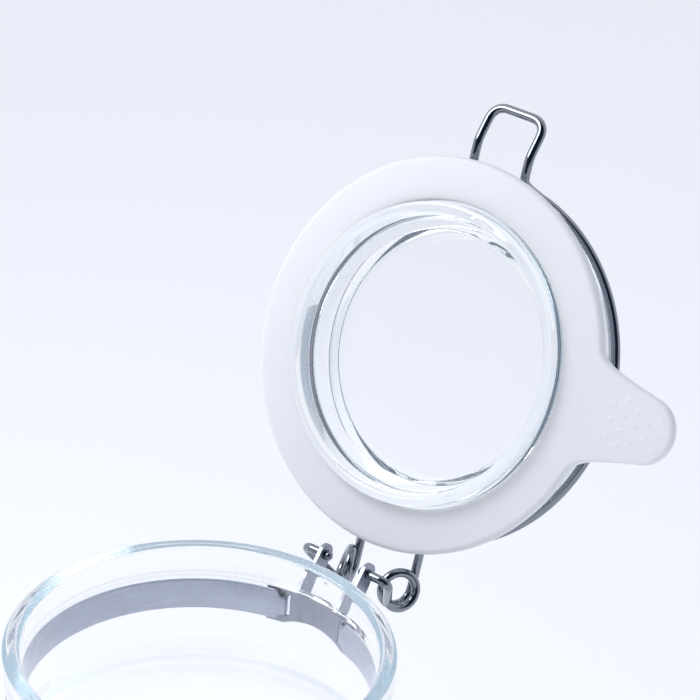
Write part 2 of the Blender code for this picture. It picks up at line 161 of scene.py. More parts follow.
# a round wire along a path, its section carried along without twist and its ends domed
def wirePiece(name, path, radius, place=None):
    path = np.array(path, float)
    along = np.gradient(path, axis=0)
    along /= np.linalg.norm(along, axis=1)[:, None]
    side = np.cross(along[0], (0.31, 0.17, 0.93))
    side /= np.linalg.norm(side)
    verts, rings = [], []

    def ring(centre, direction, across, size):
        other = np.cross(direction, across)
        rings.append(list(range(len(verts), len(verts) + wireSides)))
        for i in range(wireSides):
            a = math.tau * i / wireSides
            verts.append(centre + size * (math.cos(a) * across + math.sin(a) * other))

    for lift in reversed(domeLifts):
        a = math.radians(lift)
        end = path[0] - along[0] * radius * domeDepth * math.sin(a)
        ring(end, along[0], side, radius * math.cos(a))
    for centre, direction in zip(path, along):
        side = side - direction * (side @ direction)
        side /= np.linalg.norm(side)
        ring(centre, direction, side, radius)
    for lift in domeLifts:
        a = math.radians(lift)
        end = path[-1] + along[-1] * radius * domeDepth * math.sin(a)
        ring(end, along[-1], side, radius * math.cos(a))
    faces = [rings[0][::-1], rings[-1]]
    for low, high in zip(rings, rings[1:]):
        faces += joinedRings(low, high)
    return pieceFrom(name, verts, faces, place)


# an outline in one plane carried from low to high; order says which axis each number is for
def prismPiece(name, outline, low, high, order):
    verts = []
    for level in (low, high):
        for a, b in outline:
            point = [0, 0, 0]
            point[order[0]], point[order[1]], point[order[2]] = a, b, level
            verts.append(point)
    count = len(outline)
    faces = [list(range(count)), list(range(count, 2 * count))]
    faces += [[i, (i + 1) % count, count + (i + 1) % count, count + i] for i in range(count)]
    return pieceFrom(name, verts, faces)


def combine(piece, other, operation):
    change = piece.modifiers.new(operation.lower(), "BOOLEAN")
    change.operation = operation
    change.object = other
    graph = bpy.context.evaluated_depsgraph_get()
    mesh = bpy.data.meshes.new_from_object(piece.evaluated_get(graph))
    piece.modifiers.clear()
    piece.data = mesh
    bpy.data.objects.remove(other, do_unlink=True)


def easeEdges(piece, width):
    bevel = piece.modifiers.new("eased edges", "BEVEL")
    bevel.width = width
    bevel.segments = 2
    bevel.limit_method = "ANGLE"
    bevel.angle_limit = math.radians(35)
    bevel.harden_normals = False
    piece.data.shade_smooth()
    piece.data.set_sharp_from_angle(angle=math.radians(30))


def finishPiece(piece, body, node, material):
    piece.data.materials.clear()
    piece.data.materials.append(material)
    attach(piece, body)
    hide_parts(node)


def newMaterial(name):
    material = bpy.data.materials.new(name)
    material.use_nodes = True
    tree = material.node_tree
    return material, tree, tree.nodes["Principled BSDF"]


def node(tree, kind, **settings):
    made = tree.nodes.new(kind)
    for key, value in settings.items():
        if key in made.inputs:
            made.inputs[key].default_value = value
        else:
            setattr(made, key, value)
    return made


# noise in the object's own space, drawn out along an axis by a small number in stretch
def stretchedNoise(tree, stretch, scale, detail=3.0, roughness=0.5):
    where = node(tree, "ShaderNodeTexCoord")
    mapping = node(tree, "ShaderNodeMapping")
    mapping.inputs["Scale"].default_value = stretch
    noise = node(tree, "ShaderNodeTexNoise", Scale=scale, Detail=detail, Roughness=roughness)
    tree.links.new(where.outputs["Object"], mapping.inputs["Vector"])
    tree.links.new(mapping.outputs["Vector"], noise.inputs["Vector"])
    return noise


def addBump(tree, shader, source, strength, distance, below=None):
    bump = node(tree, "ShaderNodeBump", Strength=strength, Distance=distance)
    tree.links.new(source, bump.inputs["Height"])
    if below is not None:
        tree.links.new(below.outputs["Normal"], bump.inputs["Normal"])
    tree.links.new(bump.outputs["Normal"], shader.inputs["Normal"])
    return bump


def spread(tree, source, low, high, target):
    ramp = node(tree, "ShaderNodeMapRange")
    ramp.inputs["From Min"].default_value = 0.3
    ramp.inputs["From Max"].default_value = 0.7
    ramp.inputs["To Min"].default_value = low
    ramp.inputs["To Max"].default_value = high
    tree.links.new(source, ramp.inputs["Value"])
    tree.links.new(ramp.outputs["Result"], target)


def mixColours(tree, source, first, second, target):
    mix = node(tree, "ShaderNodeMix", data_type="RGBA")
    mix.inputs[6].default_value = (*first, 1)
    mix.inputs[7].default_value = (*second, 1)
    tree.links.new(source, mix.inputs["Factor"])
    tree.links.new(mix.outputs[2], target)


glass = {
    "tint": (1.0, 1.0, 1.0),
    "edgeColour": (0.55, 0.80, 0.90),
    "jarDensity": 2.0,
    "lidDensity": 3.0,
    "ior": 1.5,
    "ripple": 0.07,
    "rippleScale": 34,
    "skin": 0.001,
    "skinScale": 900,
    "haze": 0.006,
}


# clear pressed glass: slow ripples from the mould, and a cyan cast that only long paths show
def glassMaterial(name, density):
    material, tree, shader = newMaterial(name)
    shader.inputs["Base Color"].default_value = (*glass["tint"], 1)
    shader.inputs["Transmission Weight"].default_value = 1.0
    shader.inputs["IOR"].default_value = glass["ior"]
    slow = stretchedNoise(tree, (1, 1, 0.6), glass["rippleScale"], 1.0, 0.4)
    fine = stretchedNoise(tree, (1, 1, 1), glass["skinScale"], 2.0)
    below = addBump(tree, shader, slow.outputs["Fac"], glass["ripple"], 0.0006)
    addBump(tree, shader, fine.outputs["Fac"], glass["skin"], 0.0001, below)
    spread(tree, slow.outputs["Fac"], 0.0, glass["haze"], shader.inputs["Roughness"])
    depth = node(tree, "ShaderNodeVolumeAbsorption")
    depth.inputs["Color"].default_value = (*glass["edgeColour"], 1)
    depth.inputs["Density"].default_value = density
    tree.links.new(depth.outputs["Volume"], tree.nodes["Material Output"].inputs["Volume"])
    return material


silicone = {
    "light": (0.93, 0.945, 0.99),
    "shade": (0.89, 0.91, 0.97),
    "roughness": 0.48,
    "cloudScale": 60,
    "grainScale": 2600,
    "grain": 0.12,
    "softness": 0.6,
    "softDepth": 0.004,
    "shine": 0.22,
}


# milky moulded silicone: light sinks in a little, the skin is matte with a fine dusty grain
def siliconeMaterial():
    material, tree, shader = newMaterial("milkySilicone")
    cloud = stretchedNoise(tree, (1, 1, 1), silicone["cloudScale"], 2.0)
    grain = stretchedNoise(tree, (1, 1, 1), silicone["grainScale"], 2.0)
    colour, matt = shader.inputs["Base Color"], silicone["roughness"]
    mixColours(tree, cloud.outputs["Fac"], silicone["shade"], silicone["light"], colour)
    spread(tree, grain.outputs["Fac"], matt - 0.06, matt + 0.08, shader.inputs["Roughness"])
    addBump(tree, shader, grain.outputs["Fac"], silicone["grain"], 0.00006)
    shader.inputs["Subsurface Weight"].default_value = silicone["softness"]
    shader.inputs["Subsurface Radius"].default_value = (1.0, 1.0, 1.05)
    shader.inputs["Subsurface Scale"].default_value = silicone["softDepth"]
    shader.inputs["Specular IOR Level"].default_value = silicone["shine"]
    return material


steelFinishes = {
    # painted shade: the polished wire's colour is set far darker than bright steel, standing in for the
    # dark studio that the wire mirrors
    "polishedWire": {
        "colour": (0.28, 0.30, 0.34), "roughness": 0.12,
        "stretch": (1, 1, 1), "marks": 900, "depth": 0.10,
    },
    "rolledBandSteel": {
        "colour": (0.57, 0.61, 0.72), "roughness": 0.34,
        "stretch": (0.15, 0.15, 4.0), "marks": 900, "depth": 0.35,
    },
    "stampedBracketSteel": {
        "colour": (0.38, 0.405, 0.48), "roughness": 0.36,
        "stretch": (1, 1, 0.25), "marks": 700, "depth": 0.2,
    },
    "turnedPinSteel": {
        "colour": (0.50, 0.51, 0.54), "roughness": 0.24,
        "stretch": (3.0, 0.3, 0.3), "marks": 700, "depth": 0.25,
    },
}
polishScale = 240
polishShade = 0.86


# steel with marks drawn along one axis and a slow change of polish
def steelMaterial(name):
    material, tree, shader = newMaterial(name)
    shader.inputs["Metallic"].default_value = 1.0
    finish = steelFinishes[name]
    colour, roughness = finish["colour"], finish["roughness"]
    marks = stretchedNoise(tree, finish["stretch"], finish["marks"], 4.0, 0.6)
    polish = stretchedNoise(tree, (1, 1, 1), polishScale, 2.0)
    dark = tuple(c * polishShade for c in colour)
    mixColours(tree, polish.outputs["Fac"], dark, colour, shader.inputs["Base Color"])
    spread(tree, marks.outputs["Fac"], roughness * 0.75, roughness * 1.3, shader.inputs["Roughness"])
    addBump(tree, shader, marks.outputs["Fac"], finish["depth"], 0.00005)
    return material


jarGlassMaterial = glassMaterial("clearJarGlass", glass["jarDensity"])
lidGlassMaterial = glassMaterial("clearLidGlass", glass["lidDensity"])
wireSteel = steelMaterial("polishedWire")
bandSteel = steelMaterial("rolledBandSteel")
bracketSteel = steelMaterial("stampedBracketSteel")
pinSteel = steelMaterial("turnedPinSteel")
print("materials ready")


jar = {
    "steps": 144,
    "rimRadius": 48.0 * mm,
    "mouthRadius": 43.8 * mm,
    "neckRadius": 46.0 * mm,
    "neckBore": 42.8 * mm,
    "wall": 3.6 * mm,
    "floor": 5.2 * mm,
    "beadDepth": 9.6 * mm,
    "shoulderTop": 25.0 * mm,
    "shoulderDepth": 22.0 * mm,
    "heel": 9.0 * mm,
    "pushUp": 2.4 * mm,
}


def easing(low, high, part):
    return low + (high - low) * (1 - math.cos(math.pi * part)) / 2


def jarProfile():
    rim, neck, bore = jar["rimRadius"], jar["neckRadius"], jar["neckBore"]
    inside = bodyRadius - jar["wall"]
    foot = bodyRadius - jar["heel"]
    shoulder = rimTop - jar["shoulderTop"]
    bead = rimTop - jar["beadDepth"]
    outer = [(0, jar["pushUp"])]
    for part in (0.2, 0.4, 0.6, 0.8):
        outer.append((foot * 0.72 * part, easing(jar["pushUp"], 0.5 * mm, part)))
    outer += [(foot * 0.76, 0.35 * mm), (foot * 0.82, 0.0)]
    outer += flatArc((foot, jar["heel"]), jar["heel"], -math.pi / 2, 0, 10)
    wallTop = shoulder - jar["shoulderDepth"] - 4 * mm
    outer += [(bodyRadius, height) for height in np.linspace(0.03, wallTop, 5)]
    for i in range(25):
        part = i / 24
        outer.append((easing(bodyRadius, neck, part), shoulder - jar["shoulderDepth"] * (1 - part)))
    under = softened([
        (neck, shoulder + 2 * mm, 0), (neck, bead, 0.9 * mm), (rim - 0.3 * mm, bead + 0.9 * mm, 1.0 * mm),
        (rim, bead + 3.4 * mm, 2.5 * mm), (rim, rimTop - 3 * mm, 0)])
    outer += [tuple(p) for p in under]
    outer += [tuple(p) for p in softened([
        (rim, rimTop - 2.9 * mm, 0), (rim, rimTop, 1.7 * mm), (jar["mouthRadius"], rimTop, 1.5 * mm),
        (jar["mouthRadius"], rimTop - 4 * mm, 1 * mm), (bore, bead - 1 * mm, 6 * mm), (bore, shoulder, 0)])]
    inner = []
    for i in range(1, 25):
        part = i / 24
        inner.append((easing(bore, inside, part), shoulder - jar["shoulderDepth"] * part))
    heel = jar["heel"] - 1 * mm
    inner += [(inside, height) for height in np.linspace(wallTop, 0.03, 5)]
    inner += flatArc((inside - heel, jar["floor"] + heel), heel, 0, -math.pi / 2, 10)
    inner += [((inside - heel) * (1 - part), easing(jar["floor"], jar["floor"] + 1.6 * mm, part))
              for part in (0.2, 0.4, 0.6, 0.8, 1.0)]
    return outer + inner


jarGlass = turnedPiece("jarGlass", jarProfile(), jar["steps"])
finishPiece(jarGlass, "jar", "jar_body", jarGlassMaterial)
print("jar made")


# every piece of the lid is shaped with the lid shut, then turned open about the hinge
lid = {
    "steps": 160,
    "seatGap": 0.3 * mm,
    "flangeRadius": 47.4 * mm,
    "plugRadius": 38.8 * mm,
    "crestRadius": 36.6 * mm,
    "plugDepth": 3.7 * mm,
    "discRadius": 32.3 * mm,
    "discHeight": 3.3 * mm,
    "topHeight": 18.2 * mm,
    "panelRadius": 31.0 * mm,
    "panelHeight": 14.2 * mm,
}
seal = {
    "radius": 50.9 * mm,
    "bore": 39.5 * mm,
    "thick": 3.2 * mm,
    "tabThick": 2.7 * mm,
    "tabCentre": 65.0 * mm,
    "tabRadius": 8.6 * mm,
    "tabRootHalf": 14.0 * mm,
    "tabTurn": math.radians(-2.9),
    "tabParts": 58,
    "edge": 1.3 * mm,
    "dotStart": 56.0 * mm,
    "dotRows": 5,
    "dotPitch": 3.9 * mm,
    "rowPacking": 0.87,
    "dotRadius": 0.95 * mm,
    "dotRise": 0.3 * mm,
}
lidRing = {"radius": 47.6 * mm, "height": 13.6 * mm, "wire": 1.2 * mm}


def lidGlassProfile():
    seat = rimTop + lid["seatGap"] * 2 + seal["thick"]
    groove = lidRing["radius"] - lidRing["wire"] - 0.35 * mm
    ringLevel = rimTop + lidRing["height"]
    disc, crest, plug = rimTop + lid["discHeight"], rimTop - lid["plugDepth"], lid["plugRadius"]
    flange, panel = lid["flangeRadius"], rimTop + lid["panelHeight"]
    top = rimTop + lid["topHeight"]
    corners = [
        (0, disc + 0.2 * mm, 0),
        (lid["discRadius"] * 0.6, disc + 0.1 * mm, 20 * mm),
        (lid["discRadius"], disc, 1.0 * mm),
        (lid["discRadius"] + 2.4 * mm, disc - 1.4 * mm, 1.2 * mm),
        (lid["crestRadius"] - 0.6 * mm, crest + 0.6 * mm, 1.0 * mm),
        (lid["crestRadius"] + 0.3 * mm, crest, 0.6 * mm),
        (plug, crest, 0.9 * mm),
        (plug, seat, 0.5 * mm),
        (flange, seat, 0.8 * mm),
        (flange, ringLevel - 5.0 * mm, 2.0 * mm),
        (groove + 0.8 * mm, ringLevel - 2.2 * mm, 0.6 * mm),
        (groove, ringLevel - 1.5 * mm, 1.0 * mm),
        (groove, ringLevel + 1.5 * mm, 1.0 * mm),
        (groove + 0.5 * mm, ringLevel + 2.0 * mm, 0.8 * mm),
        (groove + 0.5 * mm, top, 2.2 * mm),
        (lid["panelRadius"] + 6.0 * mm, top, 3.0 * mm),
        (lid["panelRadius"] + 1.2 * mm, panel + 0.4 * mm, 3.0 * mm),
        (lid["panelRadius"] * 0.6, panel + 0.3 * mm, 30 * mm),
        (0, panel + 0.6 * mm, 0),
    ]
    return [tuple(p) for p in softened(corners)]


lidGlass = turnedPiece("lidGlass", lidGlassProfile(), lid["steps"], openLid)
finishPiece(lidGlass, "lid", "lid_glass", lidGlassMaterial)
print("lid glass made")


# how far the seal's outline is from its centre at an angle from +X
def tabReach(angle):
    centre, tip = seal["tabCentre"], seal["tabRadius"]
    rootAngle = math.asin(seal["tabRootHalf"] / seal["radius"])
    angle = abs(angle)
    if angle >= rootAngle * 1.12:
        return seal["radius"]
    touch = math.asin(tip / centre) * 0.97
    if angle <= touch:
        return centre * math.cos(angle) + math.sqrt(max(0, tip**2 - (centre * math.sin(angle)) ** 2))
    touchReach = centre * math.cos(touch)
    touchReach += math.sqrt(max(0, tip**2 - (centre * math.sin(touch)) ** 2))
    part = (angle - touch) / (rootAngle * 1.12 - touch)
    return seal["radius"] + (touchReach - seal["radius"]) * (1 - part) ** 2.1


def tabThickness(reach):
    length = seal["tabCentre"] + seal["tabRadius"] - seal["radius"]
    outward = (reach - seal["radius"]) / length
    return seal["thick"] + (seal["tabThick"] - seal["thick"]) * min(1, outward * 1.5)


# how far the small grip domes lift the tab's faces at a point of the seal's plan
def gripRise(x, y):
    row = round((x - seal["dotStart"]) / (seal["dotPitch"] * seal["rowPacking"]))
    if not 0 <= row < seal["dotRows"]:
        return 0.0
    shift = 0.5 * (row % 2)
    place = (round(y / seal["dotPitch"] - shift) + shift) * seal["dotPitch"]
    if abs(place) > seal["tabRadius"] - 2.4 * mm - abs(row - 1) * 0.35 * mm:
        return 0.0
    across = x - seal["dotStart"] - row * seal["dotPitch"] * seal["rowPacking"]
    away = math.hypot(across, y - place) / seal["dotRadius"]
    return seal["dotRise"] * (1 - away**2) ** 2 if away < 1 else 0.0


# radius and height round the seal's section: a thin lip by the plug, flat faces, a soft edge
def sealSection(angle):
    reach = tabReach(angle)
    half, edge = seal["thick"] / 2, seal["edge"]
    outer = tabThickness(reach) / 2
    start = seal["radius"] - 3.5 * mm
    upper = flatArc((seal["bore"] + 0.7 * mm, half - 0.7 * mm), 0.7 * mm, math.pi, math.pi / 2, 3)
    upper += [(radius, half) for radius in np.linspace(seal["bore"] + 2 * mm, start, 4)]
    for part in np.linspace(0, 1, seal["tabParts"])[1:]:
        radius = start + (reach - edge - start) * part
        rise = gripRise(radius * math.cos(angle), radius * math.sin(angle))
        upper.append((radius, half + (outer - half) * part + rise))
    nose = [(reach - edge + edge * math.cos(a), outer * math.sin(a)) for a in np.linspace(1.35, -1.35, 8)]
    return upper + nose + [(radius, -height) for radius, height in reversed(upper)]


def sealPiece():
    root = math.asin(seal["tabRootHalf"] / seal["radius"]) * 1.2
    grips = math.asin(seal["tabRadius"] / seal["tabCentre"]) * 1.1
    around = [
        *np.linspace(root, math.tau - root, 130),
        *np.linspace(math.tau - root, math.tau - grips, 22)[1:],
        *np.linspace(-grips, grips, 64)[1:],
        *np.linspace(grips, root, 22)[1:-1],
    ]
    middle = rimTop + lid["seatGap"] + seal["thick"] / 2
    verts, rings = [], []
    for angle in around:
        section = sealSection((angle + math.pi) % math.tau - math.pi)
        rings.append(list(range(len(verts), len(verts) + len(section))))
        turn = angle + seal["tabTurn"]
        for radius, height in section:
            verts.append((radius * math.cos(turn), radius * math.sin(turn), middle + height))
    faces = []
    for here, after in zip(rings, rings[1:] + rings[:1]):
        faces += joinedRings(here, after)
    return pieceFrom("sealRing", verts, faces, openLid)


sealRing = sealPiece()
finishPiece(sealRing, "lid", "gasket", siliconeMaterial())
print("seal made")


lidWireShape = {
    "tongueHalf": 8.0 * mm,
    "tongueRoot": (49.2 * mm, 6.3 * mm),
    "tongueBend": (55.6 * mm, 5.2 * mm),
    "tongueTip": (65.2 * mm, 7.8 * mm),
    "coilCentre": (8.5 * mm, 60.8 * mm, 10.9 * mm),
    "coilRadius": 4.65 * mm,
    "coilLean": math.radians(30),
    "coilPitch": 2.75 * mm,
    "pinOut": 13.9 * mm,
    "pinIn": 5.2 * mm,
}


def lidWireHalf():
    shape = lidWireShape
    lean = np.array((math.cos(shape["coilLean"]), 0, -math.sin(shape["coilLean"])))
    back = np.array((0.0, 1.0, 0.0))
    rise = np.array((math.sin(shape["coilLean"]), 0, math.cos(shape["coilLean"])))
    centre = np.array(shape["coilCentre"]) + (0, 0, rimTop)
    corner = np.array((shape["pinOut"], hinge.y, hinge.z))
    seen = corner - centre
    flat = math.hypot(seen @ back, seen @ rise)
    leave = math.atan2(seen @ rise, seen @ back) + math.acos(shape["coilRadius"] / flat)
    sweep = math.pi / 2 - leave + math.tau
    steps = 56
    coil = []
    for i in range(steps + 1):
        angle = leave + sweep * i / steps
        along = shape["coilPitch"] * sweep / math.tau * (0.5 - i / steps)
        side = back * math.cos(angle) + rise * math.sin(angle)
        coil.append((*(centre + lean * along + side * shape["coilRadius"]), 0))
    level, radius = rimTop + lidRing["height"], lidRing["radius"]
    start = math.asin(coil[-1][0] / radius)
    end = math.pi - math.asin(shape["tongueHalf"] / radius)
    ring = [(radius * math.sin(a), radius * math.cos(a), level, 0) for a in np.linspace(start, end, 80)]
    ring = ring[:1] + ring[3:-3] + ring[-1:]
    ring[0], ring[-1] = (*ring[0][:3], 2.6 * mm), (*ring[-1][:3], 2.6 * mm)
    half = shape["tongueHalf"]
    tongue = [(half, -out, rimTop + up, bend) for (out, up), bend in (
        (shape["tongueRoot"], 2.4 * mm), (shape["tongueBend"], 5.0 * mm), (shape["tongueTip"], 3.6 * mm))]
    tip = (0, -shape["tongueTip"][0], rimTop + shape["tongueTip"][1], 0)
    pin = [(shape["pinIn"], hinge.y, hinge.z, 0), (*corner, 1.7 * mm)]
    return np.array(softened(pin + coil + ring + tongue + [tip]))


def wholeWire(half, spacing=0.6 * mm, passes=3):
    other = half[::-1][1:] * (-1, 1, 1)
    return eased(evenly(np.concatenate([half, other]), spacing), passes)


lidWire = wirePiece("lidWire", wholeWire(lidWireHalf()), lidRing["wire"], openLid)
finishPiece(lidWire, "lid", "lid_wire", wireSteel)
print("lid wire made")


# the neck band comes in two halves, hooked into the rear and front brackets
band = {
    "thick": 0.8 * mm,
    "neckGap": 0.35 * mm,
    "plateThick": 0.9 * mm,
    "fitGap": 0.3 * mm,
    "hookHalf": 2.6 * mm,
    "hookReturn": 3.6 * mm,
    "slotWidth": 2.2 * mm,
    "rearSlot": 9.5 * mm,
    "frontSlot": 21.0 * mm,
    "rearHalf": 15.0 * mm,
    "frontHalf": 25.6 * mm,
    "foldRadius": 0.7 * mm,
    "step": 0.5 * mm,
    "straightEnd": 0.4 * mm,
    "widening": 1.6 * mm,
}
bandRadius = jar["neckRadius"] + band["neckGap"] + band["thick"] / 2
plateRadius = bandRadius + band["thick"] / 2 + band["fitGap"] + band["plateThick"] / 2
bandMiddle = (bandLow.z + bandHigh.z) / 2


def planPoint(radius, angle):
    return (radius * math.sin(angle), radius * math.cos(angle))


# a strip that runs round the neck, narrows, passes out through each slot and folds back
def bandHalf(name, side):
    rear = math.asin(band["rearSlot"] / bandRadius)
    front = math.pi - math.asin(band["frontSlot"] / bandRadius)
    outside = plateRadius + band["plateThick"] / 2 + band["fitGap"] + band["thick"] / 2
    fold, bend, step = band["hookReturn"] / outside, band["foldRadius"], band["step"]
    main = [(*planPoint(bandRadius, side * a), 0) for a in np.linspace(rear, front, 70)]
    path = [
        (*planPoint(outside, side * (rear + fold)), 0),
        (*planPoint(outside, side * (rear + fold * 0.5)), 0),
        (*planPoint(outside, side * rear), bend),
        (*main[0][:2], bend),
        *main[2:-2],
        (*main[-1][:2], bend),
        (*planPoint(outside, side * front), bend),
        (*planPoint(outside, side * (front - fold * 0.5)), 0),
        (*planPoint(outside, side * (front - fold)), 0),
    ]
    points = evenly(softened(path), step)
    along = np.gradient(points, axis=0)
    along /= np.linalg.norm(along, axis=1)[:, None]
    across = np.stack([-along[:, 1], along[:, 0]], axis=1)
    travel = np.arange(len(points)) * step
    fromEnd = np.minimum(travel, travel[-1] - travel)
    hooked = band["hookReturn"] + (outside - bandRadius) + band["straightEnd"]
    full = (bandHigh.z - bandLow.z) / 2
    grown = np.clip((fromEnd - hooked) / band["widening"], 0, 1)
    heights = band["hookHalf"] + (full - band["hookHalf"]) * (3 * grown**2 - 2 * grown**3)
    edge = band["thick"] / 2
    verts, rings = [], []
    for point, out, height in zip(points, across, heights):
        section = flatArc((0, height - edge), edge * 0.98, 0, math.pi, 5)
        section += [(x, -z) for x, z in reversed(section)]
        rings.append(list(range(len(verts), len(verts) + len(section))))
        verts += [(point[0] + out[0] * x, point[1] + out[1] * x, bandMiddle + z) for x, z in section]
    faces = [rings[0], rings[-1]]
    for low, high in zip(rings, rings[1:]):
        faces += joinedRings(low, high)
    piece = pieceFrom(name, verts, faces)
    piece.data.set_sharp_from_angle(angle=math.radians(50))
    return piece


bandHalves = ("bandRight", 1, "neck_band_right"), ("bandLeft", -1, "neck_band_left")
for name, side, nodeName in bandHalves:
    finishPiece(bandHalf(name, side), "jar", nodeName, bandSteel)
print("neck band made")


bracket = {
    "earThick": 1.0 * mm,
    "earRadius": 2.9 * mm,
    "bore": 1.45 * mm,
    "rearEar": 6.4 * mm,
    "frontEar": 15.4 * mm,
    "edge": 0.16 * mm,
    "aboveBand": 0.6 * mm,
    "belowBand": 1.0 * mm,
    "archDrop": 1.35,  # of the plate's half width
    "archRise": 2.4 * mm,
    "slotSlack": 0.4 * mm,
    "cutReach": 3 * mm,
}


def platePath(facing, half, steps):
    reach = math.asin(half / plateRadius)
    turn = 0 if facing > 0 else math.pi
    return [planPoint(plateRadius, turn - reach + 2 * reach * i / steps) for i in range(steps + 1)]


def stripOutline(path, thick):
    points = np.array(path)
    along = np.gradient(points, axis=0)
    along /= np.linalg.norm(along, axis=1)[:, None]
    out = np.stack([-along[:, 1], along[:, 0]], axis=1) * thick / 2
    return [tuple(p) for p in points + out] + [tuple(p) for p in (points - out)[::-1]]


# a curved plate with two slots, an arched lower edge and two ears bored for a wire
def bracketPiece(name, facing, half, slot, earX, eye, foot):
    top, low = bandHigh.z + bracket["aboveBand"], bandLow.z - bracket["belowBand"]
    strip = stripOutline(platePath(facing, half, 40), band["plateThick"])
    plate = prismPiece(name, strip, low, top, (0, 1, 2))
    archDrop, reach = half * bracket["archDrop"], bracket["cutReach"]
    archRadius = archDrop + bracket["archRise"]
    arch = flatArc((0, low - archDrop), archRadius, math.radians(20), math.radians(160), 40)
    near, far = sorted((facing * (plateRadius - half), facing * (plateRadius + 6 * mm)))
    combine(plate, prismPiece("arch", arch, near, far, (0, 2, 1)), "DIFFERENCE")
    tall = band["hookHalf"] + bracket["slotSlack"]
    for side in (-1, 1):
        angle = (0 if facing > 0 else math.pi) + facing * side * math.asin(slot / plateRadius)
        centre = np.array(planPoint(plateRadius, angle))
        out = centre / np.linalg.norm(centre) * reach
        along = np.array((out[1], -out[0])) / reach * band["slotWidth"] / 2
        box = [tuple(centre + along * a + out * b) for a, b in ((-1, -1), (1, -1), (1, 1), (-1, 1))]
        slotCutter = prismPiece("slot", box, bandMiddle - tall, bandMiddle + tall, (0, 1, 2))
        combine(plate, slotCutter, "DIFFERENCE")
        rootY = math.sqrt(plateRadius**2 - earX**2)
        ends = (-60, 120) if facing > 0 else (240, 60)
        first, last = math.radians(ends[0]), math.radians(ends[1])
        earTop = flatArc((eye.y, eye.z), bracket["earRadius"], first, last, 26)
        outline = [(facing * (rootY + y), rimTop + z) for y, z in foot] + earTop
        inner, outer = sorted((side * earX, side * (earX + bracket["earThick"])))
        combine(plate, prismPiece("ear", outline, inner, outer, (1, 2, 0)), "UNION")
        hole = flatArc((eye.y, eye.z), bracket["bore"], 0, math.tau * 31 / 32, 31)
        combine(plate, prismPiece("bore", hole, inner - mm, outer + mm, (1, 2, 0)), "DIFFERENCE")
    easeEdges(plate, bracket["edge"])
    return plate


rearFoot = [(1.6 * mm, -9.6 * mm), (0, -10.8 * mm), (0, -19.2 * mm), (3.0 * mm, -19.2 * mm)]
frontFoot = [(1.2 * mm, -10.8 * mm), (0, -10.8 * mm), (0, -19.2 * mm), (2.4 * mm, -19.2 * mm)]
hingeBracket = bracketPiece(
    "hingeBracket", 1, band["rearHalf"], band["rearSlot"], bracket["rearEar"], hinge, rearFoot)
latchBracket = bracketPiece(
    "latchBracket", -1, band["frontHalf"], band["frontSlot"], bracket["frontEar"], leverPivot, frontFoot)
finishPiece(hingeBracket, "jar", "hinge_bracket", bracketSteel)
finishPiece(latchBracket, "jar", "latch_bracket", bracketSteel)
print("brackets made")


# the latch is a lever, a headed pin and a draw loop, which hangs open
latch = {
    "wire": 1.2 * mm,
    "loopWire": 1.2 * mm,
    "pinRadius": 1.2 * mm,
    "runningGap": 0.25 * mm,
    "leverHalf": 18.6 * mm,
    "gripHalf": 20.0 * mm,
    "gripY": 63.0 * mm,
    "gripDrop": 59.0 * mm,
    "loopHalf": 11.7 * mm,
    "headHeight": 1.0 * mm,
    "headLip": 0.9 * mm,
    "eyeStep": 0.5 * mm,
}
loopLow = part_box("latch_loop")[0].z + latch["loopWire"]


# one turn of wire about the pin, from the jar's side round underneath and back
def eyeTurn(radius, firstX, lastX):
    corners = []
    for i in range(41):
        angle = math.pi + math.tau * i / 40
        x = firstX + (lastX - firstX) * i / 40
        y, z = drawPivot.y + radius * math.cos(angle), drawPivot.z + radius * math.sin(angle)
        corners.append((x, y, z, 0))
    return corners


def leverHalfPath():
    eyeRadius = latch["pinRadius"] + latch["runningGap"] + latch["wire"]
    first = latch["leverHalf"]
    grip = rimTop - latch["gripDrop"]
    return np.array(softened([
        (bracket["frontEar"] - 1.6 * mm, leverPivot.y, leverPivot.z, 0),
        (first, leverPivot.y, leverPivot.z, 1.9 * mm),
        *eyeTurn(eyeRadius, first, first + 2 * latch["wire"] + latch["eyeStep"]),
        (latch["gripHalf"], -latch["gripY"] + 0.6 * mm, grip + 10 * mm, 8 * mm),
        (latch["gripHalf"], -latch["gripY"], grip, 7 * mm),
        (0, -latch["gripY"], grip, 0),
    ]))


def loopHalfPath():
    eyeRadius = latch["pinRadius"] + latch["runningGap"] + latch["loopWire"]
    first = latch["loopHalf"] + 2 * latch["loopWire"] + latch["eyeStep"]
    return np.array(softened([
        *eyeTurn(eyeRadius, first, latch["loopHalf"]),
        (latch["loopHalf"], drawPivot.y, loopLow, 3.2 * mm),
        (0, drawPivot.y, loopLow, 0),
    ]))


latchLever = wirePiece("latchLever", wholeWire(leverHalfPath()), latch["wire"])
latchLoop = wirePiece("latchLoop", wholeWire(loopHalfPath()), latch["loopWire"])


def pinPiece():
    end = latch["leverHalf"] + 3 * latch["wire"] + 1.2 * mm
    rod, head = latch["pinRadius"], latch["pinRadius"] + latch["headLip"]
    tall = latch["headHeight"]
    rounding = np.linspace(math.pi / 2, 0.15, 7)
    dome = [(head * math.cos(a), end - tall + tall * math.sin(a)) for a in rounding]
    side = softened([
        (dome[-1][0], end - 0.85 * mm, 0), (head, end - tall, 0.2 * mm),
        (rod, end - tall, 0.15 * mm), (rod, end - 2.2 * mm, 0)])
    half = dome + [tuple(p) for p in side]
    half[0] = (0, half[0][1])
    profile = half + [(radius, -height) for radius, height in reversed(half)]
    place = Matrix.Translation(drawPivot) @ Matrix.Rotation(math.pi / 2, 4, "Y")
    return turnedPiece("latchPin", profile, 28, place)


latchPin = pinPiece()
latchPin.data.set_sharp_from_angle(angle=math.radians(50))
finishPiece(latchLever, "lever", "latch_lever", wireSteel)
finishPiece(latchLoop, "draw_loop", "latch_loop", wireSteel)
finishPiece(latchPin, "draw_pin", "latch_pin", pinSteel)
print("latch made")


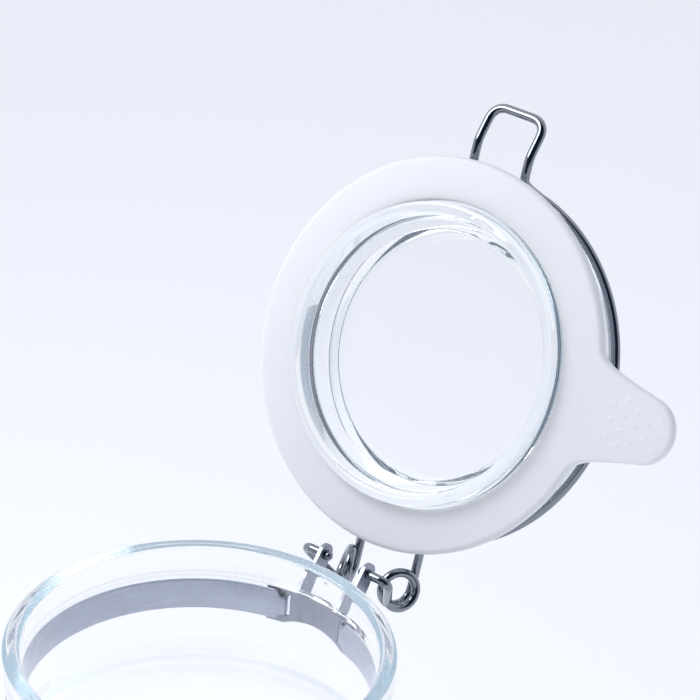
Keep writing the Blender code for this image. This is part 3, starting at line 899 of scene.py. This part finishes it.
stage = {
    "floorColour": (0.80, 0.81, 0.84),
    "floorHalf": 6,
    "floorDrop": 0.2 * mm,
    "floorGlow": (0.475, 0.484, 0.497),
    "skyColour": (0.345, 0.37, 0.44),
    "backdrop": (0.80, 0.83, 0.90),
    "brightSky": (0.94, 0.965, 1.03),
    "darkSky": (0.02, 0.035, 0.07),
    "glassSky": (0.30, 0.36, 0.45),
    "keyPower": 1.04,
    "keyColour": (0.985, 0.985, 1.0),
    "keySize": 0.26,
    "keyAside": -0.17,
    "keyAbove": 0.25,
    "keyAhead": 0.20,
    "darkFrom": 0.05,
    "darkTo": 0.75,
    "bounces": 128,
    "glassBounces": 120,
}
# lengths here follow the rim, so the framing keeps with it
shot = {
    "azimuth": math.radians(36.756),
    "elevation": math.radians(29.127),
    "roll": math.radians(2.999),
    "distance": 16.7376 * jar["rimRadius"],
    "aside": 0.757 * jar["rimRadius"],
    "above": 1.4866 * jar["rimRadius"],
    "lens": 170.316,
}


def shotAxes():
    a, e, r = shot["azimuth"], shot["elevation"], shot["roll"]
    back = Vector((math.sin(a) * math.cos(e), -math.cos(a) * math.cos(e), math.sin(e)))
    level = Vector((math.cos(a), math.sin(a), 0))
    upright = back.cross(level)
    right = level * math.cos(r) + upright * math.sin(r)
    return right, upright * math.cos(r) - level * math.sin(r), back


def buildFloor():
    material, tree, shader = newMaterial("paleFloor")
    shader.inputs["Roughness"].default_value = 0.9
    shader.inputs["Specular IOR Level"].default_value = 0.1
    cloud = stretchedNoise(tree, (1, 1, 1), 1.2, 1.0)
    colour = stage["floorColour"]
    lighter = tuple(c * 1.01 for c in colour)
    mixColours(tree, cloud.outputs["Fac"], colour, lighter, shader.inputs["Base Color"])
    shader.inputs["Emission Color"].default_value = (*stage["floorGlow"], 1)
    shader.inputs["Emission Strength"].default_value = 1.0
    half = stage["floorHalf"]
    corners = [(-half, -half, 0), (half, -half, 0), (half, half, 0), (-half, half, 0)]
    floor = pieceFrom("floor", corners, [(0, 1, 2, 3)])
    floor.location.z = -stage["floorDrop"]
    floor.data.materials.append(material)


def byRay(tree, path, ray, colour, other):
    mix = node(tree, "ShaderNodeMix", data_type="RGBA")
    mix.inputs[7].default_value = (*other, 1)
    tree.links.new(path.outputs[ray], mix.inputs["Factor"])
    tree.links.new(colour, mix.inputs[6])
    return mix.outputs[2]


# soft even light for matt surfaces; glass and wire mirror a white room with a dark high front
def buildSky():
    world = bpy.data.worlds.new("studio")
    world.use_nodes = True
    tree = world.node_tree
    back = tree.nodes["Background"]
    where = node(tree, "ShaderNodeTexCoord")
    toFront = node(tree, "ShaderNodeVectorMath", operation="DOT_PRODUCT")
    toFront.inputs[1].default_value = shotAxes()[2]
    tree.links.new(where.outputs["Generated"], toFront.inputs[0])
    edge = node(tree, "ShaderNodeMapRange", interpolation_type="SMOOTHSTEP")
    edge.inputs["From Min"].default_value = stage["darkFrom"]
    edge.inputs["From Max"].default_value = stage["darkTo"]
    tree.links.new(toFront.outputs["Value"], edge.inputs["Value"])
    path = node(tree, "ShaderNodeLightPath")
    front = node(tree, "ShaderNodeMix", data_type="RGBA")
    front.inputs[6].default_value = (*stage["darkSky"], 1)
    front.inputs[7].default_value = (*stage["glassSky"], 1)
    tree.links.new(path.outputs["Is Transmission Ray"], front.inputs["Factor"])
    mirrored = node(tree, "ShaderNodeMix", data_type="RGBA")
    mirrored.inputs[6].default_value = (*stage["brightSky"], 1)
    tree.links.new(front.outputs[2], mirrored.inputs[7])
    tree.links.new(edge.outputs["Result"], mirrored.inputs["Factor"])
    lit = byRay(tree, path, "Is Diffuse Ray", mirrored.outputs[2], stage["skyColour"])
    final = byRay(tree, path, "Is Camera Ray", lit, stage["backdrop"])
    tree.links.new(final, back.inputs["Color"])
    bpy.context.scene.world = world


def buildKey():
    right, up = shotAxes()[:2]
    faceOut = openLid.to_3x3() @ Vector((0, 0, -1))
    lidCentre = openLid @ Vector((0, 0, rimTop))
    place = lidCentre + right * stage["keyAside"] + up * stage["keyAbove"] + faceOut * stage["keyAhead"]
    light = bpy.data.lights.new("key", "AREA")
    light.shape = "DISK"
    light.size = stage["keySize"]
    light.energy = stage["keyPower"]
    light.color = stage["keyColour"]
    key = bpy.data.objects.new("key", light)
    bpy.context.scene.collection.objects.link(key)
    key.location = place
    key.rotation_mode = "QUATERNION"
    key.rotation_quaternion = (lidCentre - place).to_track_quat("-Z", "Y")


def buildCamera():
    right, up, back = shotAxes()
    place = Vector((0, 0, rimTop)) + back * shot["distance"]
    place += right * shot["aside"] + up * shot["above"]
    data = bpy.data.cameras.new("camera")
    data.lens = shot["lens"]
    data.sensor_width = 36
    data.clip_start, data.clip_end = 0.01, 50
    camera = bpy.data.objects.new("camera", data)
    bpy.context.scene.collection.objects.link(camera)
    turn = Matrix((right, up, back)).transposed()
    camera.matrix_world = Matrix.Translation(place) @ turn.to_4x4()
    bpy.context.scene.camera = camera


buildFloor()
buildSky()
buildKey()
buildCamera()
bpy.context.scene.view_settings.view_transform = "Standard"
cycles = bpy.context.scene.cycles  # light has to find its way out of thick glass
cycles.max_bounces = stage["bounces"]
cycles.glossy_bounces = cycles.transmission_bounces = stage["glassBounces"]
print("stage ready")

print("finished")
